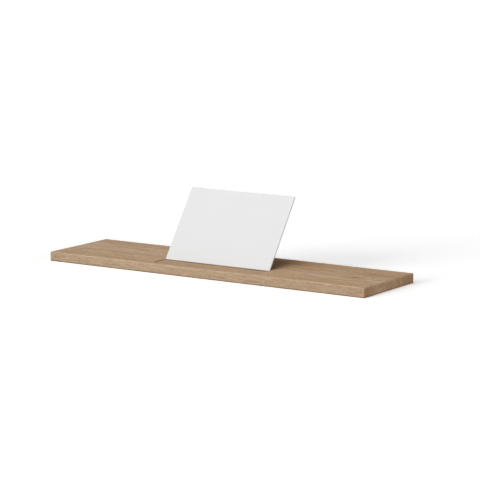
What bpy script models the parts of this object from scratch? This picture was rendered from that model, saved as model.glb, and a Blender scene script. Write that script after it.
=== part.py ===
"""Bathtub shelf: an oak plank glued from staves, and a leaning plate in it that holds a book or a tablet.

Metres, +Z up. +X runs along the plank, +Y from its front edge to its back edge. The origin is the middle of
the footprint, on the surface that the shelf lies on.
"""

from math import cos, pi, radians, sin

import bmesh
import bpy

# Plank: edge-glued staves, milled and eased as one panel
PLANK_LENGTH = 0.780
PLANK_DEPTH = 0.200
PLANK_THICKNESS = 0.020
STAVE_COUNT = 4
GLUE_LINE = 0.0003
EASED_RADIUS = 0.0020
EASED_SEGMENTS = 4
UPRIGHT_RADIUS = 0.0008
UNDERSIDE_RADIUS = 0.0003

# Plate that the book leans on. Its height is what stands above the plank, along the slope
PLATE_WIDTH = 0.260
PLATE_HEIGHT = 0.173
PLATE_THICKNESS = 0.003
PLATE_CORNER_RADIUS = 0.0015
PLATE_EDGE_BREAK = 0.0004
PLATE_LEAN = radians(35)
PLATE_SETBACK = 0.061

# Slanted groove that the plate's foot stands in. Its depth is measured along the slope
GROOVE_DEPTH = 0.012
GROOVE_CLEARANCE = 0.0003

# Book ledge: a shallow recess in front of the plate, behind a lip along the front edge
LEDGE_WIDTH = 0.260
LEDGE_LIP = 0.016
LEDGE_LAND = 0.005
LEDGE_SINK = 0.0015
LEDGE_CORNER_RADIUS = 0.003

# Rubber grip strips, let into the underside near both ends
STRIP_LENGTH = 0.110
STRIP_WIDTH = 0.012
STRIP_THICKNESS = 0.0020
STRIP_PROUD = 0.0003
STRIP_EDGE_BREAK = 0.0003
STRIP_END_INSET = 0.030
STRIP_SIDE_INSET = 0.022
STRIP_CLEARANCE = 0.0003

# How far a cutter reaches out of the wood that it cuts
OVERCUT = 0.005

# Facets: steps in a quarter turn, segments of a broken edge, and what counts as one point or a round surface
ARC_STEPS = 6
EDGE_BREAK_SEGMENTS = 2
SAME_POINT = 1e-6
SMOOTH_ANGLE = radians(40)

# Linear colours, roughness and metallic value
OAK_COLOURS = ((0.43, 0.30, 0.195), (0.41, 0.285, 0.183), (0.425, 0.295, 0.19), (0.40, 0.278, 0.178))
OAK_FINISH = (0.55, 0.0)
WHITE_COAT = (0.82, 0.82, 0.82)
WHITE_COAT_FINISH = (0.45, 0.0)
GRIP_RUBBER = (0.03, 0.03, 0.03)
GRIP_RUBBER_FINISH = (0.8, 0.0)

PLANK_BOTTOM = STRIP_PROUD
PLANK_TOP = PLANK_BOTTOM + PLANK_THICKNESS
PLANK_FRONT = -PLANK_DEPTH / 2


def clear_scene():
    """Start from an empty scene."""
    for obj in list(bpy.data.objects):
        bpy.data.objects.remove(obj, do_unlink=True)


def finish(name, colour, roughness, metallic):
    """A Principled material of one colour."""
    material = bpy.data.materials.new(name)
    material.use_nodes = True
    shader = material.node_tree.nodes["Principled BSDF"]
    shader.inputs["Base Color"].default_value = (*colour, 1.0)
    shader.inputs["Roughness"].default_value = roughness
    shader.inputs["Metallic"].default_value = metallic
    return material


def add_object(name, shape, parent, collection):
    """An object that holds the bmesh as its own mesh."""
    mesh = bpy.data.meshes.new(name)
    shape.to_mesh(mesh)
    shape.free()
    obj = bpy.data.objects.new(name, mesh)
    collection.objects.link(obj)
    obj.parent = parent
    return obj


def add_piece(name, shape, parent, material):
    """A piece of the shelf, with its round edges shaded smooth."""
    piece = add_object(name, shape, parent, bpy.context.scene.collection)
    piece.data.materials.append(material)
    piece.data.shade_smooth()
    piece.data.set_sharp_from_angle(angle=SMOOTH_ANGLE)
    return piece


def add_cutter(name, shape, parent, cutters):
    """A form that is milled out of the plank, in the collection that the staves are cut by."""
    cutter = add_object(name, shape, parent, cutters)
    cutter.hide_render = True
    cutter.display_type = "WIRE"
    return cutter


def add_empty(name, location, lean=0.0):
    """A reference frame, turned about X so that its Z axis leans back."""
    empty = bpy.data.objects.new(name, None)
    bpy.context.scene.collection.objects.link(empty)
    empty.location = location
    empty.rotation_euler.x = -lean
    return empty


def rounded_outline(length, width, radius):
    """Points of a rectangle with round corners, anticlockwise about its middle."""
    corners = ((1, 1, 0.0), (-1, 1, 0.5), (-1, -1, 1.0), (1, -1, 1.5))
    points = []
    for side_x, side_y, turn in corners:
        for step in range(ARC_STEPS + 1):
            angle = pi * (turn + 0.5 * step / ARC_STEPS)
            x = side_x * (length / 2 - radius) + radius * cos(angle)
            y = side_y * (width / 2 - radius) + radius * sin(angle)
            points.append((x, y))
    return points


def prism(outline, low, high):
    """The outline raised from one level to another, with any points that meet made one."""
    shape = bmesh.new()
    base = shape.faces.new([shape.verts.new((x, y, low)) for x, y in outline])
    raised = bmesh.ops.extrude_face_region(shape, geom=[base])["geom"]
    tops = [item for item in raised if isinstance(item, bmesh.types.BMVert)]
    bmesh.ops.translate(shape, verts=tops, vec=(0, 0, high - low))
    bmesh.ops.remove_doubles(shape, verts=shape.verts, dist=SAME_POINT)
    bmesh.ops.recalc_face_normals(shape, faces=shape.faces)
    return shape


def break_rims(shape, levels, width):
    """Bevel the edges that run round the shape at the given levels."""
    rims = [
        edge
        for edge in shape.edges
        for level in levels
        if all(abs(vert.co.z - level) < SAME_POINT for vert in edge.verts)
    ]
    bmesh.ops.bevel(
        shape,
        geom=rims,
        offset=width,
        segments=EDGE_BREAK_SEGMENTS,
        profile=0.5,
        affect="EDGES",
    )


def rounding(radius, segments):
    """Steps of a round edge, from the side face to the flat face: how far in, and how far from the flat face."""
    angles = [pi / 2 * step / segments for step in range(segments + 1)]
    return [(radius * (1 - cos(angle)), radius * (1 - sin(angle))) for angle in angles]


def eased_panel():
    """The whole plank as one block about its middle, lofted through its outline at each step of its edges."""
    half = PLANK_THICKNESS / 2
    lower_edge = rounding(UNDERSIDE_RADIUS, EDGE_BREAK_SEGMENTS)
    upper_edge = rounding(EASED_RADIUS, EASED_SEGMENTS)
    levels = [(inset, drop - half) for inset, drop in reversed(lower_edge)]
    levels += [(inset, half - drop) for inset, drop in upper_edge]
    shape = bmesh.new()
    rings = []
    for inset, level in levels:
        outline = rounded_outline(PLANK_LENGTH - 2 * inset, PLANK_DEPTH - 2 * inset, UPRIGHT_RADIUS)
        rings.append([shape.verts.new((x, y, level)) for x, y in outline])
    for lower, upper in zip(rings, rings[1:]):
        for index in range(len(lower)):
            shape.faces.new((lower[index - 1], lower[index], upper[index], upper[index - 1]))
    shape.faces.new(rings[0])
    shape.faces.new(rings[-1])
    bmesh.ops.recalc_face_normals(shape, faces=shape.faces)
    return shape


def slice_panel(shape, low, high):
    """Keep what lies between two planes across the panel's depth, and close the sawn faces."""
    for level, normal in ((low, -1), (high, 1)):
        if abs(level) >= PLANK_DEPTH / 2:
            continue
        bmesh.ops.bisect_plane(
            shape,
            geom=[*shape.verts, *shape.edges, *shape.faces],
            plane_co=(0, level, 0),
            plane_no=(0, normal, 0),
            clear_outer=True,
        )
        rim = [edge for edge in shape.edges if edge.is_boundary]
        bmesh.ops.edgeloop_fill(shape, edges=rim)
    bmesh.ops.recalc_face_normals(shape, faces=shape.faces)


def add_staves(plank, cutters):
    """The plank's staves from front to back, with what is milled out of the glued plank."""
    width = PLANK_DEPTH / STAVE_COUNT
    for index in range(STAVE_COUNT):
        first = index == 0
        last = index == STAVE_COUNT - 1
        low = PLANK_FRONT + index * width + (0 if first else GLUE_LINE / 2)
        high = PLANK_FRONT + (index + 1) * width - (0 if last else GLUE_LINE / 2)
        shape = eased_panel()
        slice_panel(shape, low, high)
        name = f"oak_stave_{index + 1}"
        oak = finish(name, OAK_COLOURS[index % len(OAK_COLOURS)], *OAK_FINISH)
        stave = add_piece(name, shape, plank, oak)
        milling = stave.modifiers.new("milling", "BOOLEAN")
        milling.operation = "DIFFERENCE"
        milling.solver = "EXACT"
        milling.operand_type = "COLLECTION"
        milling.collection = cutters


def add_ledge_cutter(plank, cutters):
    """The book ledge's recess, from the lip to the land that is left in front of the groove."""
    depth = PLATE_SETBACK - LEDGE_LAND - LEDGE_LIP
    outline = rounded_outline(LEDGE_WIDTH, depth, LEDGE_CORNER_RADIUS)
    top = PLANK_THICKNESS / 2
    shape = prism(outline, top - LEDGE_SINK, top + OVERCUT)
    cutter = add_cutter("ledge_cutter", shape, plank, cutters)
    cutter.location.y = PLANK_FRONT + LEDGE_LIP + depth / 2


def add_plate(axis):
    """The plate in the frame of its groove: Z runs up the slope from the foot, Y through the thickness."""
    full_height = GROOVE_DEPTH + PLATE_HEIGHT
    outline = rounded_outline(PLATE_WIDTH, full_height, PLATE_CORNER_RADIUS)
    shape = prism(outline, -PLATE_THICKNESS / 2, PLATE_THICKNESS / 2)
    break_rims(shape, (-PLATE_THICKNESS / 2, PLATE_THICKNESS / 2), PLATE_EDGE_BREAK)
    coat = finish("white_coat", WHITE_COAT, *WHITE_COAT_FINISH)
    plate = add_piece("book_rest_plate", shape, axis, coat)
    plate.location.z = full_height / 2
    plate.rotation_euler.x = pi / 2


def add_groove_cutter(axis, cutters):
    """The groove that the plate slides in, with the round ends that a slot cutter leaves."""
    width = PLATE_THICKNESS + 2 * GROOVE_CLEARANCE
    length = PLATE_WIDTH + 2 * GROOVE_CLEARANCE + width
    outline = rounded_outline(length, width, width / 2)
    shape = prism(outline, -GROOVE_CLEARANCE, GROOVE_DEPTH + PLATE_THICKNESS + OVERCUT)
    add_cutter("groove_cutter", shape, axis, cutters)


def strip_outline(clearance):
    """A strip with round ends, or with a clearance the pocket round it."""
    length = STRIP_LENGTH + 2 * clearance
    width = STRIP_WIDTH + 2 * clearance
    return rounded_outline(length, width, width / 2)


def add_strips(plank, cutters):
    """The grip strips and the cutters of the pockets that they sit in, one pair at each corner."""
    rubber = finish("grip_rubber", GRIP_RUBBER, *GRIP_RUBBER_FINISH)
    underside = -PLANK_THICKNESS / 2
    foot = underside - STRIP_PROUD
    roof = foot + STRIP_THICKNESS
    x = PLANK_LENGTH / 2 - STRIP_END_INSET - STRIP_LENGTH / 2
    y = PLANK_DEPTH / 2 - STRIP_SIDE_INSET - STRIP_WIDTH / 2
    for depth_word, side_y in (("front", -1), ("back", 1)):
        for length_word, side_x in (("left", -1), ("right", 1)):
            place = f"{depth_word}_{length_word}"
            shape = prism(strip_outline(0), foot, roof)
            break_rims(shape, (foot,), STRIP_EDGE_BREAK)
            strip = add_piece(f"grip_strip_{place}", shape, plank, rubber)
            pocket = prism(strip_outline(STRIP_CLEARANCE), underside - OVERCUT, roof + STRIP_CLEARANCE)
            cutter = add_cutter(f"strip_pocket_{place}", pocket, plank, cutters)
            for obj in (strip, cutter):
                obj.location.x = side_x * x
                obj.location.y = side_y * y


def main():
    clear_scene()
    cutters = bpy.data.collections.new("milling_cutters")
    bpy.context.scene.collection.children.link(cutters)
    plank = add_empty("plank", (0, 0, PLANK_BOTTOM + PLANK_THICKNESS / 2))

    # The plate's front face meets the plank's top at its setback. From there the groove runs down the slope,
    # and its middle lies half the plate's thickness behind that face
    face_y = PLANK_FRONT + PLATE_SETBACK
    foot_y = face_y + PLATE_THICKNESS / 2 * cos(PLATE_LEAN) - GROOVE_DEPTH * sin(PLATE_LEAN)
    foot_z = PLANK_TOP - PLATE_THICKNESS / 2 * sin(PLATE_LEAN) - GROOVE_DEPTH * cos(PLATE_LEAN)
    axis = add_empty("book_rest_axis", (0, foot_y, foot_z), lean=PLATE_LEAN)

    add_ledge_cutter(plank, cutters)
    add_groove_cutter(axis, cutters)
    add_strips(plank, cutters)
    add_staves(plank, cutters)
    add_plate(axis)


main()
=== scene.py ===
"""Bathtub shelf: the looks of an oak plank glued from four staves, and of the white plate that stands in it.

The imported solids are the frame. Metres, +Z up, +X along the plank, +Y from its front edge to its back edge.
"""

from math import cos, pi, radians, sin

import bmesh
import bpy
from bpy.props import FloatProperty, FloatVectorProperty, IntProperty, PointerProperty
from bpy.types import Operator, Panel, PropertyGroup
from mathutils import Matrix, Vector


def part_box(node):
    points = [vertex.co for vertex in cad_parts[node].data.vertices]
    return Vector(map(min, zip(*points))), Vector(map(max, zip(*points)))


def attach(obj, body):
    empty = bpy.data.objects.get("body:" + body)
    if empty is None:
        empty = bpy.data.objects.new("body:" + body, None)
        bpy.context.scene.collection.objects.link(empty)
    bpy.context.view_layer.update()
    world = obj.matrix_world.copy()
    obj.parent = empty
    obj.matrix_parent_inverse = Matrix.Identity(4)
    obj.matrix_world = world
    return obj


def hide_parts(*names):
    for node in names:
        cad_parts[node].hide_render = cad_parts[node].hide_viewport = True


bl_info = {
    "name": "Bathtub shelf",
    "version": (1, 0, 0),
    "blender": (4, 5, 0),
    "location": "View3D > Sidebar > Shelf",
    "description": "Oak bathtub shelf with a leaning plate for a book or a tablet",
    "category": "Object",
}

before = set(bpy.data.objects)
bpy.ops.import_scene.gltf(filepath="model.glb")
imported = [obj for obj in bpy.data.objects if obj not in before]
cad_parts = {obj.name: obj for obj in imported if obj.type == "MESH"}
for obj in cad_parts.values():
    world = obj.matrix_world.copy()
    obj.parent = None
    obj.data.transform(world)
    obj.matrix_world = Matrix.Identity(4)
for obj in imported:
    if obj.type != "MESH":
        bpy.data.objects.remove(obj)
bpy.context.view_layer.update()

# Plank, read from the frame
STAVES = ("oak_stave_1", "oak_stave_2", "oak_stave_3", "oak_stave_4")
STAVE_BOXES = [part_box(name) for name in STAVES]
PLANK_LOW = Vector(map(min, *[low for low, high in STAVE_BOXES]))
PLANK_HIGH = Vector(map(max, *[high for low, high in STAVE_BOXES]))
PLANK_SIZE = PLANK_HIGH - PLANK_LOW
PLANK_MIDDLE = (PLANK_LOW + PLANK_HIGH) / 2

# Plate and its groove, as in the solids
PLATE_WIDTH = 0.260
PLATE_HEIGHT = 0.173
PLATE_THICKNESS = 0.003
PLATE_CORNER_RADIUS = 0.0015
PLATE_LEAN = radians(35)
PLATE_FACING = Vector((0, -cos(PLATE_LEAN), sin(PLATE_LEAN)))
PLATE_SETBACK = 0.061
GROOVE_DEPTH = 0.012
GROOVE_CLEARANCE = 0.0003

# Book ledge, as in the solids
LEDGE_WIDTH = 0.260
LEDGE_LIP = 0.016
LEDGE_LAND = 0.005
LEDGE_SINK = 0.0015
LEDGE_CORNER_RADIUS = 0.003

# Grip strips and their pockets, as in the solids
STRIPS = ("grip_strip_front_left", "grip_strip_front_right", "grip_strip_back_left", "grip_strip_back_right")
STRIP_LENGTH = 0.110
STRIP_WIDTH = 0.012
STRIP_THICKNESS = 0.0020
STRIP_PROUD = 0.0003
STRIP_END_INSET = 0.030
STRIP_SIDE_INSET = 0.022
STRIP_CLEARANCE = 0.0003

# How finely round forms are divided, how far a cutter reaches out of the wood, what counts as one point and
# as one level, up to which angle a surface is shaded round, and how far its flat faces outweigh the others
ARC_STEPS = 10
EASED_SEGMENTS = 8
UNDERSIDE_SEGMENTS = 4
RIM_SEGMENTS = 3
COAT_SEGMENTS = 5
OVERCUT = 0.005
SAME_POINT = 1e-6
SAME_LEVEL = 1e-4
SMOOTH_ANGLE = radians(35)
FLAT_WEIGHT = 100

# Ribs and round ends of the strips, as shares of a strip's width
RIB_SHARE = 0.92
ROUND_END_SHARE = 0.4995

# What tells a milled rim from others: parts of a normal that make a wall, a level face and a sawn seam, how
# many corners a seam has at least, and how far the plank's own edges reach in
WALL_BELOW = 0.9
LEVEL_ABOVE = 0.99
SEAM_ABOVE = 0.999
SEAM_CORNERS = 20
PLANK_MARGIN = 0.01

# Between which parts of its normal a corner begins to count as cut, a side, an eased edge, the ledge's
# floor, a milled wall and the plate's flat face, and counts fully. Last, how much room the edge's and the
# ledge's sizes get
CUT_TILTS = (0.35, 0.90)
SIDE_TILTS = (0.20, 0.70)
EASED_TILTS = (0.005, 0.20)
FLOOR_TILTS = (0.90, 0.99)
WALL_TILTS = (0.05, 0.40)
FLAT_TILTS = (0.80, 0.995)
EASED_ROOM = 1.01
LEDGE_ROOM = 1.1

# Between which values most of a noise lies, and between which clouds and grit of coat and rubber are read
NOISE_SPAN = (0.25, 0.75)
CLOUD_SPAN = (0.3, 0.7)
GRIT_SPAN = (0.2, 0.8)

# Where the first stave's patterns start, and how far on the next one's do
PATTERN_START = (1.3, 5.1, 2.9)
PATTERN_STEP = (3.7, 11.9, 7.3)

# Where the middle of the tree lay for each stave, as distance from the plank's front edge and from its
# underside, how the stave's grain runs out along the plank, how wide its rings are beside the mean, and how
# much darker the early wood of its rings is along the grain and where it is cut across
STAVE_GROWTH = (
    {"pith": (-0.110, -0.006), "runout": (0.006, 0.004), "pace": 1.5, "rings": (0.02, 0.22)},
    {"pith": (0.072, -0.010), "runout": (0.005, 0.012), "pace": 1.1, "rings": (0.18, 0.26)},
    {"pith": (0.066, -0.030), "runout": (-0.006, 0.008), "pace": 1.1, "rings": (0.20, 0.12)},
    {"pith": (0.250, -0.040), "runout": (0.008, -0.006), "pace": 1.2, "rings": (0.20, 0.06)},
)

# How light each stave is at its left and right ends, how light its cut ends are at the front and at the
# back, and how much redder it is than plain oak. Last, how light the sawn front is at its left and right
# ends, and the painted shade that makes it darker at its foot and lighter at its upper edge
STAVE_TONES = (
    {"along": (1.025, 1.03), "ends": (0.80, 0.95), "warmth": 0.05},
    {"along": (1.105, 0.97), "ends": (1.01, 0.95), "warmth": 0.025},
    {"along": (1.10, 0.965), "ends": (0.995, 1.03), "warmth": 0.035},
    {"along": (1.00, 0.955), "ends": (0.950, 0.860), "warmth": 0.03},
)
SAWN_TONES = (1.045, 0.95)
FRONT_SHADE_RISE = (0.985, 1.018)

# How the grain wanders: waves to the metre along and across the stave, their detail, and how far they reach
GRAIN_WAVES = (
    {"waves": (2.6, 16.0, 16.0), "detail": 1.0, "reach": 0.008},
    {"waves": (18.0, 120.0, 120.0), "detail": 2.0, "reach": 0.0024},
)

# How uneven the years are, when in a year its early wood rises and fades, the mean share of early wood, and
# how faint and how strong the rings of single years are
YEAR_DRIFT = 1.6
EARLY_RISE = (0.0, 0.14)
EARLY_FADE = (0.18, 0.72)
EARLY_SHARE = 0.38
YEAR_STRENGTHS = (0.30, 1.50)

# Young wood round the tree's middle, where it is cut across: how far it and the dark ring round it reach,
# how light both are, and how much of the rings shows in it
YOUNG_REACH = (0.0290, 0.0320, 0.0360)
YOUNG_TONES = (1.15, 0.93)
YOUNG_RINGS = 0.40

# Streaks of the wood: waves to the metre along and across the grain, how much each lightens or darkens, and
# how much of that is left on the sawn front
STREAKS = {
    "figure": {"waves": (14.0, 75.0, 75.0), "contrast": 0.065, "on_front": 0.25},
    "mottle": {"waves": (26.0, 650.0, 650.0), "contrast": 0.26, "on_front": 1.00},
    "fleck": {"waves": (150.0, 1200.0, 1200.0), "contrast": 0.22, "on_front": 1.00},
    "fibre": {"waves": (90.0, 3000.0, 3000.0), "contrast": 0.06, "on_front": 1.00},
}
STREAK_NOISE = {"detail": 3.0, "roughness": 0.65}

# Marks of the saw on the cut ends: waves to the metre across and up the end, and their contrast
SAW_WAVES = (0.0, 140.0, 90.0)
SAW_NOISE = {"detail": 2.0, "roughness": 0.6}
SAW_CONTRAST = 0.045

# Bands that follow the rings: waves to the year, their contrast, and how much is left on the sawn front
BAND_WAVES = 0.45
BAND_CONTRAST = 0.06
BAND_ON_FRONT = 0.25

# Pores: waves to the metre, the noise between which they open, the share of them in late wood and what
# early wood adds to it, and how much of their colour shows
PORE_WAVES = (95.0, 2100.0, 2100.0)
PORE_OPENING = (0.56, 0.66)
LATE_PORES = 0.20
EARLY_PORES = 0.80
PORE_SHARE = 0.75

# Rays: waves to the metre along the grain, to the radian round the tree's middle and to the metre away from
# it, the noise between which they open, how light they are, and how much of that shows
RAYS_ALONG = 75.0
RAYS_ROUND = 90.0
RAYS_OUTWARDS = 60.0
RAY_OPENING = (0.62, 0.72)
RAY_TONE = 1.10
RAY_SHARE = 0.30

# Powers that make darker wood warmer
TONE_POWERS = (1.0, 1.35, 1.85)

# What the wood's colour is multiplied by on the front's polished upper edge, which is also a painted
# highlight, the sawn front, the ledge's milled floor as painted shade, the walls of ledge and groove as
# painted shade, the foot of the sides as painted shade, the painted shade line before the plate, the painted
# shade on the lip before the ledge, and the painted shade round the plate
WEAR_AND_HIGHLIGHT_TINT = (1.19, 1.26, 1.30)
SAWN_TINT = (0.94, 0.983, 1.036)
LEDGE_FLOOR_SHADE_TINT = (0.875, 0.865, 0.86)
WALL_SHADE_TINT = (0.50, 0.46, 0.44)
FOOT_SHADE_TINT = (0.38, 0.30, 0.22)
PLATE_FOOT_SHADE_TINT = (0.30, 0.46, 0.68)
LIP_SHADE_TINT = (0.88, 0.88, 0.84)
PLATE_SHADE_TINT = (0.95, 0.875, 0.80)

# How much of the painted shade the walls that run across the grain take
WALL_SHADE_ACROSS = 0.58

# How far behind the front edge the top is polished and carries a painted highlight, and how much beside the
# edge itself
POLISH_AND_HIGHLIGHT_REACH = (0.004, 0.030)
POLISH_AND_HIGHLIGHT_SHARE = 0.18

# Between which values of the mottle worn places with their painted highlight and single streaks break up, and
# how much of each shows there
MOTTLE_SPAN = (0.30, 0.65)
WEAR_AND_HIGHLIGHT_SHARES = (0.55, 1.0)
STREAK_SHARES = (1.0, 0.45)

# How high the painted shade at the foot of the sides reaches, and how far in front of the plate the painted
# shade line on the second stave reaches
FOOT_SHADE_HEIGHTS = (0.0008, 0.0020)
PLATE_FOOT_SHADE_STAVE = 1
PLATE_FOOT_SHADE_REACH = (0.0015, 0.0048)

# The lip before the ledge, darkened as painted shade: the middle of its darker part along the plank, and
# where that begins and ceases to fade to both sides and behind the front edge
LIP_STAVE = 0
LIP_PLACE = -0.015
LIP_SIDES = (0.075, 0.180)
LIP_DEPTHS = (0.008, 0.018)

# Which staves carry painted shade round the plate, where its middle is along the plank, and where it begins
# and ceases to fade
PLATE_SHADE_STAVES = (1, 2, 3)
PLATE_SHADE_PLACE = 0.04
PLATE_SHADE_REACH = (0.09, 0.23)

# A small knot in the second stave: its place along the plank and distance from the front edge, its radii,
# how far and how much it turns the grain, how ragged it is, where it begins and ceases to fade, and how
# much of it shows
KNOT_STAVE = 1
KNOT_PLACE = (0.313, 0.093)
KNOT_RADII = (0.0060, 0.0064)
KNOT_PULL_REACH = (0.026, 0.011)
KNOT_PULL = 0.75
KNOT_RAGGED_WAVES = 420.0
KNOT_RAGGED = 0.7
KNOT_FADE = (0.35, 1.15)
KNOT_SHARE = 0.62

# Single streaks of the top: which stave, place along the plank and distance from its front edge, half their
# length and width, and what they multiply the wood's colour by. The fourth is the knot's tail. Last, where
# in their reach they begin and cease to fade
STREAK_MARKS = (
    {"stave": 0, "place": (-0.360, 0.011), "reach": (0.100, 0.014), "tint": (0.93, 0.91, 0.86)},
    {"stave": 0, "place": (0.290, 0.027), "reach": (0.150, 0.013), "tint": (0.94, 0.90, 0.83)},
    {"stave": 1, "place": (0.312, 0.093), "reach": (0.036, 0.018), "tint": (0.90, 0.80, 0.71)},
    {"stave": 1, "place": (0.326, 0.0950), "reach": (0.020, 0.007), "tint": (0.66, 0.62, 0.58)},
    {"stave": 2, "place": (0.345, 0.140), "reach": (0.080, 0.016), "tint": (0.86, 0.73, 0.62)},
    {"stave": 2, "place": (0.350, 0.112), "reach": (0.055, 0.013), "tint": (1.10, 1.13, 1.17)},
    {"stave": 3, "place": (-0.310, 0.163), "reach": (0.090, 0.017), "tint": (1.07, 1.09, 1.10)},
    # Painted light: this last mark lightens the shade behind the plate
    {"stave": 3, "place": (0.095, 0.178), "reach": (0.065, 0.024), "tint": (1.12, 1.12, 1.10)},
)
STREAK_FADE = (0.2, 1.0)

# Sheen of the oak: its roughness over the mottle, what pores, worn places and cut ends add, and its
# specular level. Relief of the oak: how high pores, fibres and early wood stand, in shares of the relief's
# height, and its strength
OAK_ROUGHNESS = (0.82, 0.90)
PORE_ROUGHNESS = 0.06
WORN_ROUGHNESS = -0.08
END_ROUGHNESS = 0.04
OAK_SPECULAR = 0.002
PORE_RELIEF = -1.0
FIBRE_RELIEF = 0.35
EARLY_RELIEF = -0.25
OAK_RELIEF = {"distance": 0.00010, "strength": 0.5}

# Powder coat: waves to the metre of its orange peel, its grit and its clouds, how light the clouds are and
# what the edge adds, its roughness and what peel and edge add, its specular level, how high the grit
# stands, and its relief
PEEL_WAVES = 620.0
COAT_GRIT_WAVES = 2600.0
CLOUD_WAVES = 14.0
COAT_LEVELS = (0.992, 1.008)
COAT_EDGE_LEVEL = -0.02
COAT_ROUGHNESS = 0.44
PEEL_ROUGHNESS = 0.10
COAT_EDGE_ROUGHNESS = -0.06
COAT_SPECULAR = 0.35
COAT_GRIT_RELIEF = 0.25
COAT_RELIEF = {"distance": 0.00006, "strength": 0.35}

# Grip rubber: waves to the metre of its mottle and its grit, how light the mottle is, its roughness over
# the grit, its specular level and its relief
RUBBER_WAVES = 180.0
RUBBER_GRIT_WAVES = 3200.0
RUBBER_LEVELS = (0.85, 1.25)
RUBBER_ROUGHNESS = (0.70, 0.88)
RUBBER_SPECULAR = 0.35
RUBBER_RELIEF = {"distance": 0.00004, "strength": 0.4}


# Settings
def size_setting(name, description, default, smallest, largest):
    """A length that a user may change."""
    return FloatProperty(
        name=name, description=description, default=default, min=smallest, max=largest, unit="LENGTH"
    )


def colour_setting(name, description, default, largest=1.0):
    """A colour that a user may change."""
    return FloatVectorProperty(
        name=name, description=description, default=default, min=0.0, max=largest, subtype="COLOR"
    )


def light_setting(name, description, default, largest=20.0):
    """A strength of light that a user may change."""
    return FloatProperty(name=name, description=description, default=default, min=0.0, max=largest)


class PlankSettings(PropertyGroup):
    """Sizes and colours of the oak plank."""

    eased_radius: size_setting(
        "Eased radius", "Radius of the plank's round upper edges", 0.0020, 0.0005, 0.006
    )
    upright_radius: size_setting(
        "Upright radius", "Radius of the plank's four upright edges", 0.0008, 0.0002, 0.006
    )
    underside_radius: size_setting(
        "Underside radius", "Radius of the edges that lie next to the tub", 0.0003, 0.0001, 0.002
    )
    rim_radius: size_setting(
        "Rim radius", "How far the rims of ledge, groove and pockets are broken", 0.0003, 0.0001, 0.001
    )
    ring_width: size_setting("Ring width", "Mean width of one year's growth", 0.0054, 0.001, 0.01)
    oak_colour: colour_setting("Oak", "Colour of the dense late wood", (0.490, 0.350, 0.228))
    pore_colour: colour_setting("Pores", "Colour in the open pores", (0.215, 0.130, 0.074))
    knot_colour: colour_setting("Knot", "Colour of the small knot", (0.210, 0.060, 0.024))
    end_tint: colour_setting(
        "End grain tint",
        "What the wood's colour is multiplied by where it is cut across the grain",
        (1.175, 1.13, 1.08),
        2.0,
    )


class PlateSettings(PropertyGroup):
    """Sizes and colours of the plate that the book leans on."""

    edge_radius: size_setting("Edge radius", "Radius of the plate's coated edges", 0.0006, 0.0001, 0.0014)
    coat_colour: colour_setting("Powder coat", "Colour of the matt white powder coat", (0.735, 0.738, 0.742))


class GripSettings(PropertyGroup):
    """Sizes and colours of the grip strips."""

    rib_pitch: size_setting("Rib pitch", "Distance from one cross rib to the next", 0.0022, 0.001, 0.01)
    rib_radius: size_setting("Rib radius", "Radius of the round cross ribs", 0.0003, 0.0001, 0.001)
    rib_sides: IntProperty(
        name="Rib sides",
        description="How many sides a round cross rib is made of",
        default=14,
        min=8,
        max=32,
    )
    rubber_colour: colour_setting("Rubber", "Colour of the grip rubber", (0.030, 0.030, 0.031))


class StageSettings(PropertyGroup):
    """The floor and the light."""

    floor_colour: colour_setting(
        "Floor", "Colour of the pale floor, as it lights the shelf from below", (0.66, 0.66, 0.66)
    )
    floor_gain: light_setting(
        "Floor where it shows",
        "How light the floor is drawn where it shows, so that it looks white in this light",
        1.276,
        4.0,
    )
    overhead_strength: light_setting("Overhead light", "Strength of the soft light above", 0.670)
    high_strength: light_setting("High light", "Strength of the high soft light in front", 0.908)
    left_strength: light_setting("Left light", "Strength of the high soft light on the left", 0.358)
    front_strength: light_setting("Front light", "Strength of the low soft light in front", 1.545)
    right_strength: light_setting("Right light", "Strength of the low soft light on the right", 0.727)
    room_strength: light_setting(
        "Room light", "Strength of the light that comes from all round", 0.056, 5.0
    )


class ShelfSettings(PropertyGroup):
    """Everything about the shelf that a user would change."""

    plank: PointerProperty(type=PlankSettings)
    plate: PointerProperty(type=PlateSettings)
    grip: PointerProperty(type=GripSettings)
    stage: PointerProperty(type=StageSettings)


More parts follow.
